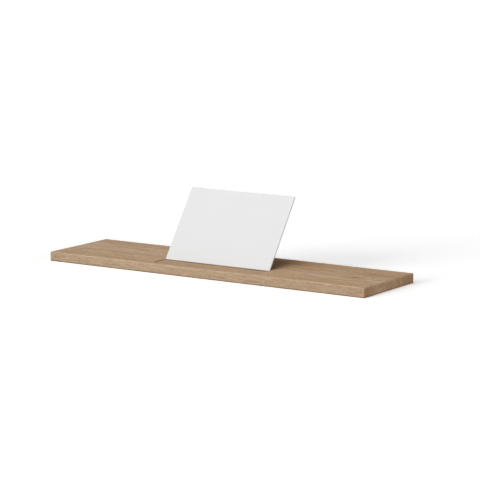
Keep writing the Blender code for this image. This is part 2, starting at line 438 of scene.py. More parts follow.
# Node trees
class Nodes:
    """Adds nodes to one tree. A value given for a socket is linked if it is a socket, and set otherwise."""

    def __init__(self, tree):
        self.tree = tree

    def add(self, kind, inputs=(), **settings):
        """A new node with its inputs and its settings."""
        node = self.tree.nodes.new(kind)
        for key, value in settings.items():
            setattr(node, key, value)
        for key, value in dict(inputs).items():
            self.feed(node.inputs[key], value)
        return node

    def feed(self, socket, value):
        """Links or sets one socket."""
        if isinstance(value, bpy.types.NodeSocket):
            self.tree.links.new(value, socket)
        elif socket.type == "RGBA" and len(value) == 3:
            socket.default_value = (*value, 1.0)
        else:
            socket.default_value = value

    def math(self, operation, *values, clamp=False):
        """The result of a sum with single values."""
        node = self.add("ShaderNodeMath", dict(enumerate(values)), operation=operation, use_clamp=clamp)
        return node.outputs[0]

    def vector(self, operation, *values):
        """The result of a sum with vectors."""
        node = self.add("ShaderNodeVectorMath", dict(enumerate(values)), operation=operation)
        return node.outputs["Value" if operation == "LENGTH" else "Vector"]

    def scaled(self, vector, amounts, shift=(0.0, 0.0, 0.0)):
        """The vector times the amounts, moved by the shift."""
        node = self.add("ShaderNodeVectorMath", {0: vector, 1: amounts, 2: shift}, operation="MULTIPLY_ADD")
        return node.outputs["Vector"]

    def noise(self, vector, detail=2.0, roughness=0.5, colour=False):
        """Smooth noise about one unit across, as a value or as three."""
        inputs = {"Vector": vector, "Scale": 1.0, "Detail": detail, "Roughness": roughness}
        node = self.add("ShaderNodeTexNoise", inputs, noise_dimensions="3D")
        return node.outputs[1 if colour else 0]

    def even_noise(self, place, waves, detail):
        """Smooth noise with as many waves to the metre in every direction."""
        return self.noise(self.scaled(place, (waves, waves, waves)), detail)

    def remap(self, value, low, high, to_low=0.0, to_high=1.0, smooth=False):
        """The value moved from one range to another, kept within it."""
        inputs = {"Value": value, "From Min": low, "From Max": high, "To Min": to_low, "To Max": to_high}
        node = self.add("ShaderNodeMapRange", inputs, interpolation_type="SMOOTHSTEP" if smooth else "LINEAR")
        return node.outputs["Result"]

    def fade(self, value, start, end):
        """1 up to the start, 0 from the end on, and a smooth fall between them."""
        return self.remap(value, start, end, 1.0, 0.0, smooth=True)

    def mix(self, share, first, second, blend="MIX"):
        """Two colours mixed by a share."""
        node = self.add("ShaderNodeMix", data_type="RGBA", blend_type=blend)
        for key, value in ((0, share), (6, first), (7, second)):
            self.feed(node.inputs[key], value)
        return node.outputs[2]

    def dimmed(self, colour, level):
        """The colour times a level."""
        return self.mix(1.0, colour, self.combined(level, level, level), blend="MULTIPLY")

    def swing(self, noise, contrast, share):
        """A factor about one that follows a noise, as far as the share lets it."""
        wave = self.remap(noise, *NOISE_SPAN, -contrast, contrast)
        return self.math("MULTIPLY_ADD", wave, share, 1.0)

    def bump(self, height, distance, strength):
        """The normal of a surface with that relief."""
        inputs = {"Height": height, "Distance": distance, "Strength": strength}
        return self.add("ShaderNodeBump", inputs).outputs["Normal"]

    def attribute(self, name):
        """A value that the mesh holds at its corners."""
        return self.add("ShaderNodeAttribute", attribute_name=name).outputs["Fac"]

    def object_place(self):
        """Where a point lies in its object."""
        return self.add("ShaderNodeTexCoord").outputs["Object"]

    def combined(self, *values):
        """A vector of up to three values."""
        return self.add("ShaderNodeCombineXYZ", dict(enumerate(values))).outputs[0]

    def separated(self, vector):
        """The three values of a vector."""
        return self.add("ShaderNodeSeparateXYZ", {0: vector}).outputs


def new_material(name):
    """A node material with nothing in it but its Principled shader, and the tree's helper."""
    material = bpy.data.materials.new(name)
    material.use_nodes = True
    return material, Nodes(material.node_tree), material.node_tree.nodes["Principled BSDF"]


# Finishes
def mark_distance(nodes, place, middle, reach):
    """How far a point of the top lies from a mark's middle, in shares of the mark's reach."""
    away = nodes.vector("SUBTRACT", place, (middle[0], PLANK_LOW.y + middle[1], 0.0))
    return nodes.vector("LENGTH", nodes.vector("MULTIPLY", away, (1 / reach[0], 1 / reach[1], 0.0)))


def wandering_grain(nodes, place, seed):
    """Where a place lies in the tree: the grain drifts slowly along the stave and ripples a little."""
    grain = place
    for wander in GRAIN_WAVES:
        reach = wander["reach"]
        shift = nodes.noise(nodes.scaled(place, wander["waves"], seed), wander["detail"], colour=True)
        shift = nodes.scaled(shift, (0.0, reach, reach), (0.0, -reach / 2, -reach / 2))
        grain = nodes.vector("ADD", grain, shift)
    return grain


def add_knot(nodes, place, grain):
    """Turns the grain round the knot. Returns the turned grain and the knot's mask."""
    reach = mark_distance(nodes, place, KNOT_PLACE, KNOT_PULL_REACH)
    pull = nodes.math("EXPONENT", nodes.math("MULTIPLY", nodes.math("MULTIPLY", reach, reach), -1.0))
    aside = nodes.math("SUBTRACT", nodes.separated(place)[1], PLANK_LOW.y + KNOT_PLACE[1])
    shift = nodes.math("MULTIPLY", nodes.math("MULTIPLY", pull, aside), -KNOT_PULL)
    turned = nodes.vector("ADD", grain, nodes.combined(0.0, shift))
    ragged = nodes.math("SUBTRACT", nodes.even_noise(place, KNOT_RAGGED_WAVES, detail=2.0), 0.5)
    core = mark_distance(nodes, place, KNOT_PLACE, KNOT_RADII)
    core = nodes.math("ADD", core, nodes.math("MULTIPLY", ragged, KNOT_RAGGED))
    return turned, nodes.fade(core, *KNOT_FADE)


def growth_rings(nodes, grain, along, growth, ring_width, seed):
    """A place's way and distance from the pith, its year, that year's strength, and its early wood."""
    runout = nodes.scaled(nodes.combined(along, along, along), (0.0, *growth["runout"]))
    pith = (0.0, PLANK_LOW.y + growth["pith"][0], PLANK_LOW.z + growth["pith"][1])
    from_pith = nodes.vector("SUBTRACT", nodes.vector("ADD", grain, runout), pith)
    across = nodes.vector("MULTIPLY", from_pith, (0.0, 1.0, 1.0))
    radius = nodes.vector("LENGTH", across)
    years = nodes.math("MULTIPLY", radius, 1.0 / (ring_width * growth["pace"]))
    uneven = nodes.noise(nodes.combined(years, seed[0]), detail=1.0)
    years = nodes.math("ADD", years, nodes.math("MULTIPLY", uneven, YEAR_DRIFT))
    count = nodes.math("ADD", nodes.math("FLOOR", years), seed[2])
    vigour = nodes.add("ShaderNodeTexWhiteNoise", {"W": count}, noise_dimensions="1D").outputs["Value"]
    vigour = nodes.remap(vigour, 0.0, 1.0, *YEAR_STRENGTHS)
    year = nodes.math("FRACT", years)
    early = nodes.math("MULTIPLY", nodes.remap(year, *EARLY_RISE, smooth=True), nodes.fade(year, *EARLY_FADE))
    return across, radius, years, vigour, early


def ray_sheets(nodes, along, across, seed):
    """Rays of the oak, thin sheets that run out from the tree's middle."""
    sides = nodes.separated(across)
    turn = nodes.math("ARCTAN2", sides[2], sides[1])
    lengthwise = nodes.math("MULTIPLY", along, RAYS_ALONG)
    sheet = nodes.combined(lengthwise, nodes.math("MULTIPLY", turn, RAYS_ROUND))
    sheet = nodes.vector("ADD", sheet, nodes.scaled(across, (0.0, RAYS_OUTWARDS, RAYS_OUTWARDS), seed))
    return nodes.remap(nodes.noise(sheet, detail=1.0), *RAY_OPENING, smooth=True)


def wear_and_highlight_share(nodes, place, edge, mottle):
    """How far the front's upper edge and the top beside it are polished, with a painted highlight."""
    _, depth, height = nodes.separated(place)
    behind = nodes.math("SUBTRACT", depth, PLANK_LOW.y)
    beside = nodes.remap(behind, *POLISH_AND_HIGHLIGHT_REACH, POLISH_AND_HIGHLIGHT_SHARE, 0.0, smooth=True)
    beside = nodes.math("MULTIPLY", beside, nodes.math("GREATER_THAN", height, PLANK_HIGH.z - SAME_LEVEL))
    wear_and_highlight = nodes.math("MAXIMUM", edge, beside)
    return nodes.math("MULTIPLY", wear_and_highlight, nodes.remap(mottle, *MOTTLE_SPAN, *WEAR_AND_HIGHLIGHT_SHARES))


def local_shades(nodes, index, place, upright, mottle, settings):
    """Places where a stave is lighter or darker than plain oak, each with a tint: painted shade at the foot
    of the sides, before the plate, on the lip and round the plate, and streaks of the wood, one of them
    painted light.
    """
    along, depth, height = nodes.separated(place)
    # Painted shade along the foot of the sides
    shade_from, shade_to = (PLANK_LOW.z + level for level in FOOT_SHADE_HEIGHTS)
    shades = [(nodes.math("MULTIPLY", upright, nodes.fade(height, shade_from, shade_to)), FOOT_SHADE_TINT)]
    # Painted shade in a line before the plate's foot
    if index == PLATE_FOOT_SHADE_STAVE:
        before = nodes.math("SUBTRACT", PLANK_LOW.y + PLATE_SETBACK, depth)
        front = nodes.math("GREATER_THAN", before, 0.0)
        within = nodes.math("LESS_THAN", nodes.math("ABSOLUTE", along), PLATE_WIDTH / 2)
        plate_foot_shade = nodes.math("MULTIPLY", nodes.fade(before, *PLATE_FOOT_SHADE_REACH), front)
        shades.append((nodes.math("MULTIPLY", plate_foot_shade, within), PLATE_FOOT_SHADE_TINT))
    # Painted shade on the lip before the ledge
    if index == LIP_STAVE:
        aside = nodes.math("ABSOLUTE", nodes.math("SUBTRACT", along, LIP_PLACE))
        behind = nodes.math("SUBTRACT", depth, PLANK_LOW.y)
        lip_shade = nodes.math("MULTIPLY", nodes.fade(aside, *LIP_SIDES), nodes.fade(behind, *LIP_DEPTHS))
        topmost = nodes.remap(height, PLANK_HIGH.z - settings.eased_radius, PLANK_HIGH.z)
        shades.append((nodes.math("MULTIPLY", lip_shade, topmost), LIP_SHADE_TINT))
    broken = nodes.remap(mottle, *MOTTLE_SPAN, *STREAK_SHARES)
    for mark in STREAK_MARKS:
        if mark["stave"] == index:
            streak = nodes.fade(mark_distance(nodes, place, mark["place"], mark["reach"]), *STREAK_FADE)
            shades.append((nodes.math("MULTIPLY", streak, broken), mark["tint"]))
    # Painted shade, darker and warmer, round and behind the plate
    if index in PLATE_SHADE_STAVES:
        away = nodes.math("ABSOLUTE", nodes.math("SUBTRACT", along, PLATE_SHADE_PLACE))
        shades.append((nodes.fade(away, *PLATE_SHADE_REACH), PLATE_SHADE_TINT))
    return shades


def oak_finish(index, settings):
    """Oiled oak of one stave as solid wood: rings round the tree's middle, with pores and rays in it."""
    growth = STAVE_GROWTH[index]
    tones = STAVE_TONES[index]
    seed = [start + step * index for start, step in zip(PATTERN_START, PATTERN_STEP)]
    material, nodes, shader = new_material(f"oak_{index + 1}")
    place = nodes.object_place()
    faces = {name: nodes.attribute(name) for name in stave_faces(settings)}
    ends = faces["end_grain"]
    sawn = faces["sawn"]
    along, depth, height = nodes.separated(place)
    grain = wandering_grain(nodes, place, seed)
    knot = None
    if index == KNOT_STAVE:
        grain, knot = add_knot(nodes, place, grain)
    rings = growth_rings(nodes, grain, along, growth, settings.ring_width, seed)
    across, radius, years, vigour, early = rings

    # Tones: bands that follow the rings, and how light the stave, its cut ends and the front are
    band = nodes.noise(nodes.combined(nodes.math("MULTIPLY", years, BAND_WAVES), seed[1]), detail=1.0)
    tone = nodes.swing(band, BAND_CONTRAST, nodes.remap(sawn, 0.0, 1.0, 1.0, BAND_ON_FRONT))
    tone = nodes.math("MULTIPLY", tone, nodes.remap(along, PLANK_LOW.x, PLANK_HIGH.x, *tones["along"]))
    low, high = STAVE_BOXES[index]
    inner, rim, outer = YOUNG_REACH
    young = nodes.remap(radius, inner, rim, *YOUNG_TONES, smooth=True)
    young = nodes.math("ADD", young, nodes.remap(radius, rim, outer, 0.0, 1.0 - YOUNG_TONES[1], smooth=True))
    end_tone = nodes.math("MULTIPLY", young, nodes.remap(depth, low[1], high[1], *tones["ends"]))
    front_tone = nodes.remap(along, PLANK_LOW.x, PLANK_HIGH.x, *SAWN_TONES)
    # Painted shade: the front darker at its foot and lighter at its upper edge
    rise = nodes.remap(height, PLANK_LOW.z, PLANK_HIGH.z, *FRONT_SHADE_RISE)
    front_tone = nodes.math("MULTIPLY", front_tone, rise)
    for cut, cut_tone in ((ends, end_tone), (sawn, front_tone)):
        beyond = nodes.math("SUBTRACT", cut_tone, 1.0)
        tone = nodes.math("MULTIPLY", tone, nodes.math("MULTIPLY_ADD", beyond, cut, 1.0))

    # Marks of the saw, and streaks of several sizes along the grain
    sawing = nodes.noise(nodes.scaled(place, SAW_WAVES, seed), **SAW_NOISE)
    tone = nodes.math("MULTIPLY", tone, nodes.swing(sawing, SAW_CONTRAST, ends))
    streaks = {}
    for name, streak in STREAKS.items():
        streaks[name] = nodes.noise(nodes.scaled(place, streak["waves"], seed), **STREAK_NOISE)
        share = nodes.remap(sawn, 0.0, 1.0, 1.0, streak["on_front"])
        tone = nodes.math("MULTIPLY", tone, nodes.swing(streaks[name], streak["contrast"], share))
    mottle = streaks["mottle"]

    # Pores: long narrow vessels, many in the early wood and few in the late wood
    vessel = nodes.noise(nodes.scaled(place, PORE_WAVES, seed), detail=1.0)
    vessel = nodes.remap(vessel, *PORE_OPENING, smooth=True)
    pores = nodes.math("MULTIPLY", vessel, nodes.math("MULTIPLY_ADD", early, EARLY_PORES, LATE_PORES))
    rays = ray_sheets(nodes, along, across, seed)

    # Colour: the rings show most where they are cut across, and darker wood is warmer too
    along_rings, end_rings = growth["rings"]
    end_rings = nodes.remap(radius, inner, rim, YOUNG_RINGS * end_rings, end_rings)
    ring = nodes.math("MULTIPLY", nodes.remap(ends, 0.0, 1.0, along_rings, end_rings), vigour)
    late = nodes.math("SUBTRACT", EARLY_SHARE, early)
    tone = nodes.math("MULTIPLY", tone, nodes.math("MULTIPLY_ADD", late, ring, 1.0))
    tint = nodes.combined(*[nodes.math("POWER", tone, power) for power in TONE_POWERS])
    warm = (1.0 + tones["warmth"], 1.0, 1.0 - tones["warmth"])
    oak = [channel * share for channel, share in zip(settings.oak_colour, warm)]
    colour = nodes.mix(nodes.math("MULTIPLY", rays, RAY_SHARE), oak, [RAY_TONE * channel for channel in oak])
    colour = nodes.mix(nodes.math("MULTIPLY", pores, PORE_SHARE), colour, settings.pore_colour)
    colour = nodes.mix(1.0, colour, tint, blend="MULTIPLY")
    if knot is not None:
        colour = nodes.mix(nodes.math("MULTIPLY", knot, KNOT_SHARE), colour, settings.knot_colour)

    # Shades of cut faces, painted shade on the ledge's floor and walls, the worn upper edge with its painted
    # highlight, and shades of single places
    # Worn upper edge, lightened as wear and as a painted highlight
    wear_and_highlight = wear_and_highlight_share(nodes, place, faces["upper_edge"], mottle)
    shades = [
        (ends, settings.end_tint),
        (sawn, SAWN_TINT),
        # Painted shade on the ledge's milled floor
        (faces["milled"], LEDGE_FLOOR_SHADE_TINT),
        # Painted shade on the walls of ledge and groove
        (faces["burnished"], WALL_SHADE_TINT),
        (wear_and_highlight, WEAR_AND_HIGHLIGHT_TINT),
        *local_shades(nodes, index, place, faces["upright"], mottle, settings),
    ]
    for share, shade in shades:
        colour = nodes.mix(share, colour, nodes.mix(1.0, colour, shade, blend="MULTIPLY"))
    nodes.feed(shader.inputs["Base Color"], colour)

    # Sheen and relief
    rough = nodes.remap(mottle, *NOISE_SPAN, *OAK_ROUGHNESS)
    for share, more in ((pores, PORE_ROUGHNESS), (wear_and_highlight, WORN_ROUGHNESS), (ends, END_ROUGHNESS)):
        rough = nodes.math("MULTIPLY_ADD", share, more, rough)
    nodes.feed(shader.inputs["Roughness"], rough)
    shader.inputs["Specular IOR Level"].default_value = OAK_SPECULAR
    relief = nodes.math("MULTIPLY", streaks["fibre"], FIBRE_RELIEF)
    for share, more in ((pores, PORE_RELIEF), (early, EARLY_RELIEF)):
        relief = nodes.math("MULTIPLY_ADD", share, more, relief)
    nodes.feed(shader.inputs["Normal"], nodes.bump(relief, **OAK_RELIEF))
    return material


def powder_coat_finish(settings):
    """Matt white powder coat with its fine orange peel."""
    material, nodes, shader = new_material("white_coat")
    place = nodes.object_place()
    peel = nodes.even_noise(place, PEEL_WAVES, detail=1.0)
    grit = nodes.even_noise(place, COAT_GRIT_WAVES, detail=1.0)
    cloud = nodes.even_noise(place, CLOUD_WAVES, detail=2.0)
    edges = nodes.attribute("coat_edge")
    level = nodes.remap(cloud, *CLOUD_SPAN, *COAT_LEVELS)
    level = nodes.math("MULTIPLY_ADD", edges, COAT_EDGE_LEVEL, level)
    nodes.feed(shader.inputs["Base Color"], nodes.dimmed(settings.coat_colour, level))
    rough = nodes.math("MULTIPLY_ADD", peel, PEEL_ROUGHNESS, COAT_ROUGHNESS)
    nodes.feed(shader.inputs["Roughness"], nodes.math("MULTIPLY_ADD", edges, COAT_EDGE_ROUGHNESS, rough))
    shader.inputs["Specular IOR Level"].default_value = COAT_SPECULAR
    relief = nodes.math("MULTIPLY_ADD", grit, COAT_GRIT_RELIEF, peel)
    nodes.feed(shader.inputs["Normal"], nodes.bump(relief, **COAT_RELIEF))
    return material


def rubber_finish(settings):
    """Matt grip rubber, faintly mottled."""
    material, nodes, shader = new_material("grip_rubber")
    place = nodes.object_place()
    mottle = nodes.even_noise(place, RUBBER_WAVES, detail=3.0)
    grit = nodes.even_noise(place, RUBBER_GRIT_WAVES, detail=2.0)
    level = nodes.remap(mottle, *CLOUD_SPAN, *RUBBER_LEVELS)
    nodes.feed(shader.inputs["Base Color"], nodes.dimmed(settings.rubber_colour, level))
    nodes.feed(shader.inputs["Roughness"], nodes.remap(grit, *GRIT_SPAN, *RUBBER_ROUGHNESS))
    shader.inputs["Specular IOR Level"].default_value = RUBBER_SPECULAR
    nodes.feed(shader.inputs["Normal"], nodes.bump(grit, **RUBBER_RELIEF))
    return material


# Shapes
def rounded_outline(length, width, radius):
    """Points of a rectangle with round corners, anticlockwise about its middle."""
    corners = ((1, 1, 0.0), (-1, 1, 0.5), (-1, -1, 1.0), (1, -1, 1.5))
    points = []
    for side_x, side_y, turn in corners:
        for step in range(ARC_STEPS + 1):
            angle = pi * (turn + 0.5 * step / ARC_STEPS)
            x = side_x * (length / 2 - radius) + radius * cos(angle)
            y = side_y * (width / 2 - radius) + radius * sin(angle)
            points.append((x, y))
    return points


def prism(outline, low, high):
    """The outline raised from one level to another, with any points that meet made one."""
    shape = bmesh.new()
    base = shape.faces.new([shape.verts.new((x, y, low)) for x, y in outline])
    raised = bmesh.ops.extrude_face_region(shape, geom=[base])["geom"]
    tops = [item for item in raised if isinstance(item, bmesh.types.BMVert)]
    bmesh.ops.translate(shape, verts=tops, vec=(0, 0, high - low))
    bmesh.ops.remove_doubles(shape, verts=shape.verts, dist=SAME_POINT)
    bmesh.ops.recalc_face_normals(shape, faces=shape.faces)
    return shape


def as_object(name, shape):
    """An object at the origin that holds the bmesh."""
    mesh = bpy.data.meshes.new(name)
    shape.to_mesh(mesh)
    shape.free()
    obj = bpy.data.objects.new(name, mesh)
    bpy.context.scene.collection.objects.link(obj)
    return obj


def evaluated_mesh(obj):
    """What the object's modifiers make of it, as a plain mesh."""
    bpy.context.view_layer.update()
    depsgraph = bpy.context.evaluated_depsgraph_get()
    return bpy.data.meshes.new_from_object(obj.evaluated_get(depsgraph), depsgraph=depsgraph)


def discard(objects):
    """Remove helper objects with their meshes."""
    for obj in objects:
        mesh = obj.data
        bpy.data.objects.remove(obj, do_unlink=True)
        bpy.data.meshes.remove(mesh)


def smoothed(obj):
    """Shade round surfaces smooth and keep flat ones flat, with the modifier for it applied."""
    obj.data.shade_smooth()
    obj.data.set_sharp_from_angle(angle=SMOOTH_ANGLE)
    weigh = obj.modifiers.new("flat_faces_first", "WEIGHTED_NORMAL")
    weigh.mode = "FACE_AREA"
    weigh.weight = FLAT_WEIGHT
    weigh.keep_sharp = True
    mesh = evaluated_mesh(obj)
    obj.modifiers.clear()
    plain = obj.data
    obj.data = mesh
    bpy.data.meshes.remove(plain)
    mesh.name = obj.name
    return obj


def mark_corners(mesh, name, value_of):
    """A value at each face corner, from the corner's place and its normal."""
    layer = mesh.attributes.new(name, "FLOAT", "CORNER")
    normals = mesh.corner_normals
    for loop in mesh.loops:
        place = mesh.vertices[loop.vertex_index].co
        layer.data[loop.index].value = value_of(place, normals[loop.index].vector)


def ramp(value, low, high):
    """0 below low, 1 above high and a smooth rise between them."""
    share = min(1.0, max(0.0, (value - low) / (high - low)))
    return share * share * (3 - 2 * share)


def faces_along_grain(place, normal):
    """How far a corner of a stave faces along the grain."""
    return ramp(abs(normal.x), *CUT_TILTS)


def faces_front(place, normal):
    """How far a corner of a stave faces the front."""
    return ramp(-normal.y, *CUT_TILTS) if place.y < PLANK_LOW.y + LEDGE_LIP / 2 else 0.0


def faces_sideways(place, normal):
    """How far a corner of a stave faces to a side."""
    return ramp(1.0 - abs(normal.z), *SIDE_TILTS)


def upper_edge_test(radius):
    """The test for how far a corner lies on the eased upper edge of the front."""

    def on_upper_edge(place, normal):
        near = max(place.y - PLANK_LOW.y, PLANK_HIGH.z - place.z) < radius * EASED_ROOM
        flat = max(abs(component) for component in normal)
        return ramp(1.0 - flat, *EASED_TILTS) if near else 0.0

    return on_upper_edge


def lies_in_ledge(place, normal):
    """How far a corner lies on the milled floor of the book ledge."""
    sunk = PLANK_HIGH.z - place.z
    return ramp(normal.z, *FLOOR_TILTS) if LEDGE_SINK / 2 < sunk < LEDGE_SINK * LEDGE_ROOM else 0.0


def lies_on_milled_wall(place, normal):
    """How far a corner lies on a wall of the book ledge or of the groove."""
    inside = PLANK_LOW.y + LEDGE_LIP / 2 < place.y < PLANK_LOW.y + 2 * PLATE_SETBACK
    within = abs(place.x) < PLATE_WIDTH / 2 + PLATE_THICKNESS * 2
    above = place.z > PLANK_MIDDLE.z - GROOVE_DEPTH
    seam = abs(normal.y) > SEAM_ABOVE and place.z < PLANK_HIGH.z - LEDGE_SINK * LEDGE_ROOM
    if seam or not (inside and within and above):
        return 0.0
    # How much painted shade this wall takes
    taken = 1.0 - (1.0 - WALL_SHADE_ACROSS) * abs(normal.x)
    return taken * ramp(1.0 - abs(normal.z), *WALL_TILTS)


def lies_on_coat_edge(place, normal):
    """How far a corner of the plate lies on its coated edge."""
    return 1.0 - ramp(abs(normal.dot(PLATE_FACING)), *FLAT_TILTS)


def stave_faces(settings):
    """The attributes that tell a stave's faces apart, each with its test."""
    return {
        "end_grain": faces_along_grain,
        "sawn": faces_front,
        "upper_edge": upper_edge_test(settings.eased_radius),
        "milled": lies_in_ledge,
        "burnished": lies_on_milled_wall,
        "upright": faces_sideways,
    }


# Pieces
def plate_frame():
    """Where the groove's foot is, with Z up the slope and Y through the plate."""
    face_y = PLANK_LOW.y + PLATE_SETBACK
    foot_y = face_y + PLATE_THICKNESS / 2 * cos(PLATE_LEAN) - GROOVE_DEPTH * sin(PLATE_LEAN)
    foot_z = PLANK_HIGH.z - PLATE_THICKNESS / 2 * sin(PLATE_LEAN) - GROOVE_DEPTH * cos(PLATE_LEAN)
    return Matrix.Translation((0, foot_y, foot_z)) @ Matrix.Rotation(-PLATE_LEAN, 4, "X")


def strip_places():
    """The middles of the grip strips on the plank's underside."""
    x = PLANK_SIZE.x / 2 - STRIP_END_INSET - STRIP_LENGTH / 2
    y = PLANK_SIZE.y / 2 - STRIP_SIDE_INSET - STRIP_WIDTH / 2
    return [(side_x * x, side_y * y) for side_y in (-1, 1) for side_x in (-1, 1)]


def milling_cutters():
    """The forms that are milled out of the glued plank."""
    depth = PLATE_SETBACK - LEDGE_LAND - LEDGE_LIP
    outline = rounded_outline(LEDGE_WIDTH, depth, LEDGE_CORNER_RADIUS)
    ledge = prism(outline, PLANK_HIGH.z - LEDGE_SINK, PLANK_HIGH.z + OVERCUT)
    bmesh.ops.translate(ledge, verts=ledge.verts, vec=(0, PLANK_LOW.y + LEDGE_LIP + depth / 2, 0))
    width = PLATE_THICKNESS + 2 * GROOVE_CLEARANCE
    outline = rounded_outline(PLATE_WIDTH + 2 * GROOVE_CLEARANCE + width, width, width / 2)
    groove = prism(outline, -GROOVE_CLEARANCE, GROOVE_DEPTH + PLATE_THICKNESS + OVERCUT)
    bmesh.ops.transform(groove, matrix=plate_frame(), verts=groove.verts)
    cutters = [as_object("ledge_cutter", ledge), as_object("groove_cutter", groove)]
    roof = PLANK_LOW.z - STRIP_PROUD + STRIP_THICKNESS + STRIP_CLEARANCE
    length = STRIP_LENGTH + 2 * STRIP_CLEARANCE
    width = STRIP_WIDTH + 2 * STRIP_CLEARANCE
    for x, y in strip_places():
        pocket = prism(rounded_outline(length, width, width / 2), PLANK_LOW.z - OVERCUT, roof)
        bmesh.ops.translate(pocket, verts=pocket.verts, vec=(x, y, 0))
        cutters.append(as_object("pocket_cutter", pocket))
    return cutters


def round_over(shape, edges, radius, segments):
    """Round the edges to the radius."""
    bmesh.ops.bevel(shape, geom=edges, offset=radius, segments=segments, profile=0.5, affect="EDGES")


def rounding(radius, segments):
    """Steps of a round edge, from the side face on: how far in, and how far from the flat face."""
    angles = [pi / 2 * step / segments for step in range(segments + 1)]
    return [(radius * (1 - cos(angle)), radius * (1 - sin(angle))) for angle in angles]


def eased_panel(settings):
    """The whole plank, lofted through its outline at each step of its round edges."""
    lower_edge = rounding(settings.underside_radius, UNDERSIDE_SEGMENTS)
    upper_edge = rounding(settings.eased_radius, EASED_SEGMENTS)
    levels = [(inset, PLANK_LOW.z + drop) for inset, drop in reversed(lower_edge)]
    levels += [(inset, PLANK_HIGH.z - drop) for inset, drop in upper_edge]
    shape = bmesh.new()
    rings = []
    for inset, level in levels:
        outline = rounded_outline(PLANK_SIZE.x - 2 * inset, PLANK_SIZE.y - 2 * inset, settings.upright_radius)
        rings.append([shape.verts.new((x, y, level)) for x, y in outline])
    for lower, upper in zip(rings, rings[1:]):
        for index in range(len(lower)):
            shape.faces.new((lower[index - 1], lower[index], upper[index], upper[index - 1]))
    shape.faces.new(rings[0])
    shape.faces.new(rings[-1])
    bmesh.ops.recalc_face_normals(shape, faces=shape.faces)
    return shape


def stave_blank(low, high, settings):
    """What lies between two planes across the eased plank, with its sawn faces closed."""
    shape = eased_panel(settings)
    for level, side, outer in ((low, -1, PLANK_LOW.y), (high, 1, PLANK_HIGH.y)):
        if abs(level - outer) < SAME_POINT:
            continue
        bmesh.ops.bisect_plane(
            shape,
            geom=[*shape.verts, *shape.edges, *shape.faces],
            plane_co=(0, level, 0),
            plane_no=(0, side, 0),
            clear_outer=True,
        )
        rim = [edge for edge in shape.edges if edge.is_boundary]
        bmesh.ops.edgeloop_fill(shape, edges=rim)
    bmesh.ops.recalc_face_normals(shape, faces=shape.faces)
    return shape


def is_milled_rim(edge, level):
    """Whether an edge lies at a level of the plank where a milled wall meets the face."""
    if any(abs(vert.co.z - level) > SAME_POINT for vert in edge.verts) or len(edge.link_faces) != 2:
        return False
    upright = [abs(face.normal.z) for face in edge.link_faces]
    walls = [face for face in edge.link_faces if abs(face.normal.z) < WALL_BELOW]
    seam = any(abs(face.normal.y) > SEAM_ABOVE and len(face.verts) > SEAM_CORNERS for face in walls)
    inside = all(
        PLANK_LOW.x + PLANK_MARGIN < vert.co.x < PLANK_HIGH.x - PLANK_MARGIN
        and PLANK_LOW.y + PLANK_MARGIN < vert.co.y < PLANK_HIGH.y - PLANK_MARGIN
        for vert in edge.verts
    )
    return inside and max(upright) > LEVEL_ABOVE and len(walls) == 1 and not seam


def add_stave(index, low, high, cutters, settings):
    """One stave with its share of the milling, its milled rims broken."""
    name = f"stave_{index + 1}"
    stave = as_object(name, stave_blank(low, high, settings))
    for cutter in cutters:
        milling = stave.modifiers.new("milling", "BOOLEAN")
        milling.operation = "DIFFERENCE"
        milling.solver = "EXACT"
        milling.object = cutter
    carved = evaluated_mesh(stave)
    discard([stave])
    shape = bmesh.new()
    shape.from_mesh(carved)
    bpy.data.meshes.remove(carved)
    bmesh.ops.remove_doubles(shape, verts=shape.verts, dist=SAME_POINT)
    for level in (PLANK_LOW.z, PLANK_HIGH.z):
        rims = [edge for edge in shape.edges if is_milled_rim(edge, level)]
        if rims:
            round_over(shape, rims, settings.rim_radius, RIM_SEGMENTS)
    stave = smoothed(as_object(name, shape))
    for attribute, test in stave_faces(settings).items():
        mark_corners(stave.data, attribute, test)
    stave.data.materials.append(oak_finish(index, settings))
    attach(stave, "plank")
    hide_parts(STAVES[index])


def add_plate(settings):
    """The coated plate with its edges rounded, standing in the groove."""
    full_height = GROOVE_DEPTH + PLATE_HEIGHT
    outline = rounded_outline(PLATE_WIDTH, full_height, PLATE_CORNER_RADIUS)
    half = PLATE_THICKNESS / 2
    shape = prism(outline, -half, half)
    rims = [edge for edge in shape.edges if abs(edge.verts[0].co.z - edge.verts[1].co.z) < SAME_POINT]
    round_over(shape, rims, settings.edge_radius, COAT_SEGMENTS)
    standing = Matrix.Translation((0, 0, full_height / 2)) @ Matrix.Rotation(pi / 2, 4, "X")
    bmesh.ops.transform(shape, matrix=plate_frame() @ standing, verts=shape.verts)
    plate = smoothed(as_object("book_rest", shape))
    mark_corners(plate.data, "coat_edge", lies_on_coat_edge)
    plate.data.materials.append(powder_coat_finish(settings))
    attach(plate, "book_rest")
    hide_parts("book_rest_plate")


